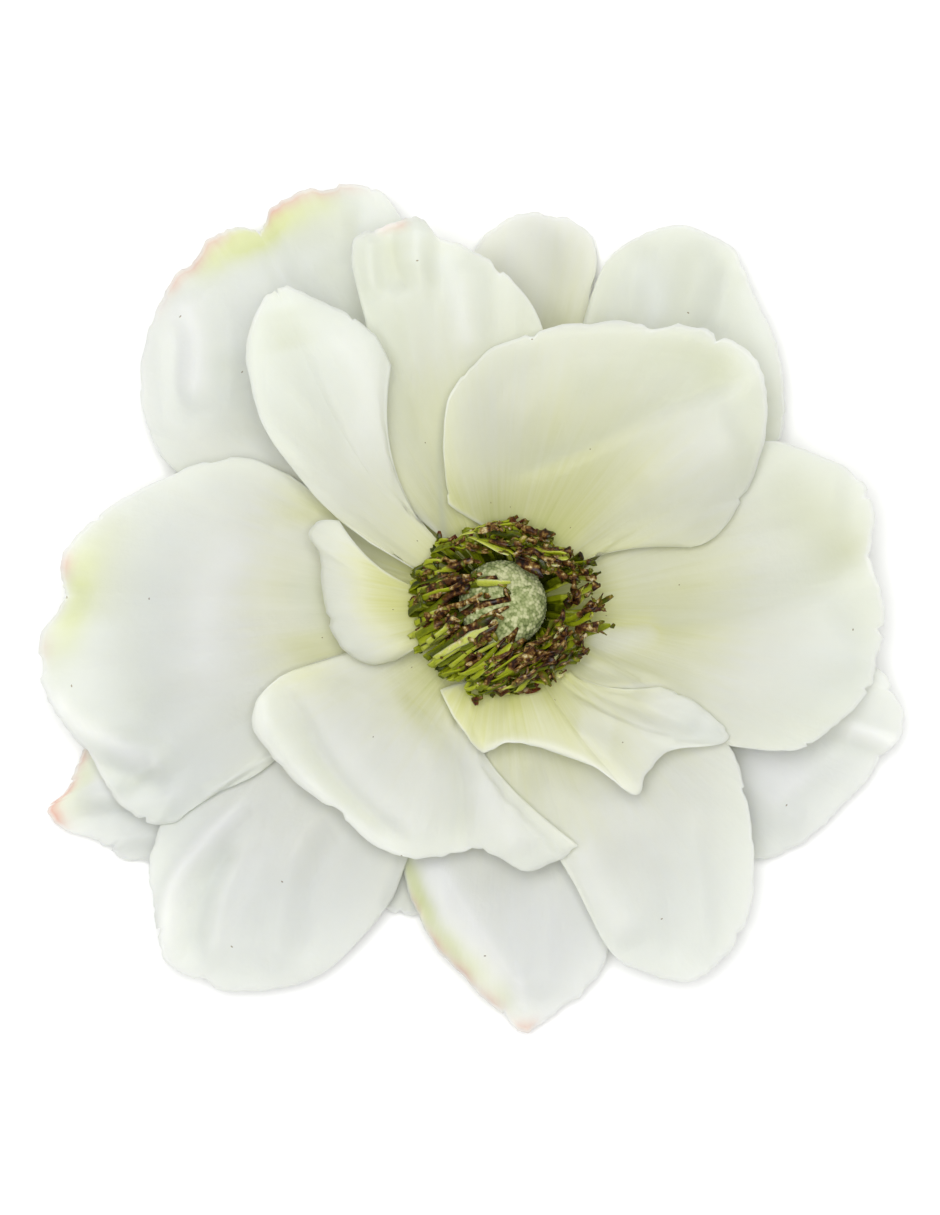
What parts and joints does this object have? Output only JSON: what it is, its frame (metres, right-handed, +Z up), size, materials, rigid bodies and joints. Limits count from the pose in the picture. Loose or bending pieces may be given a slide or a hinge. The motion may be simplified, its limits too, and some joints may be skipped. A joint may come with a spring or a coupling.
{
  "type": "anemone flower",
  "caption": "Open white anemone bloom lying face up: broad and cupped petals in tiers round a swept ring of green stamens and a domed pistil, on a short cut stem.",
  "frame": {"origin": "under the middle of the bloom's bounding box, on the surface that the bloom lies on", "axes": "+Z up, out of the face of the bloom; +Y towards its top petals and +X towards its right petals, looking down on it"},
  "size_m": [0.1, 0.0992, 0.0196],
  "materials": {
    "petal": "soft matt white, yellow-green towards the claw",
    "receptacle": "soft matt yellow-green",
    "stamens": "satin olive green with brown torn ends",
    "pistil": "fine grained grey-green"
  },
  "bodies": {
    "root": {"receptacle": "receptacle", "petal_back_left": "petal", "petal_back_low": "petal", "petal_back_right": "petal", "petal_outer_left_low": "petal", "petal_outer_right_low": "petal", "petal_outer_top": "petal", "petal_outer_low": "petal", "petal_outer_left_high": "petal", "petal_outer_low_left": "petal", "petal_outer_right_high": "petal", "petal_outer_left": "petal", "petal_outer_low_right": "petal", "petal_inner_right": "petal", "petal_inner_low_left": "petal", "petal_inner_top": "petal", "petal_inner_left_high": "petal", "petal_inner_left": "petal", "petal_inner_right_high": "petal", "petal_inner_low_right": "petal", "pistil": "pistil", "stamens": "stamens"}
  },
  "joints": []
}
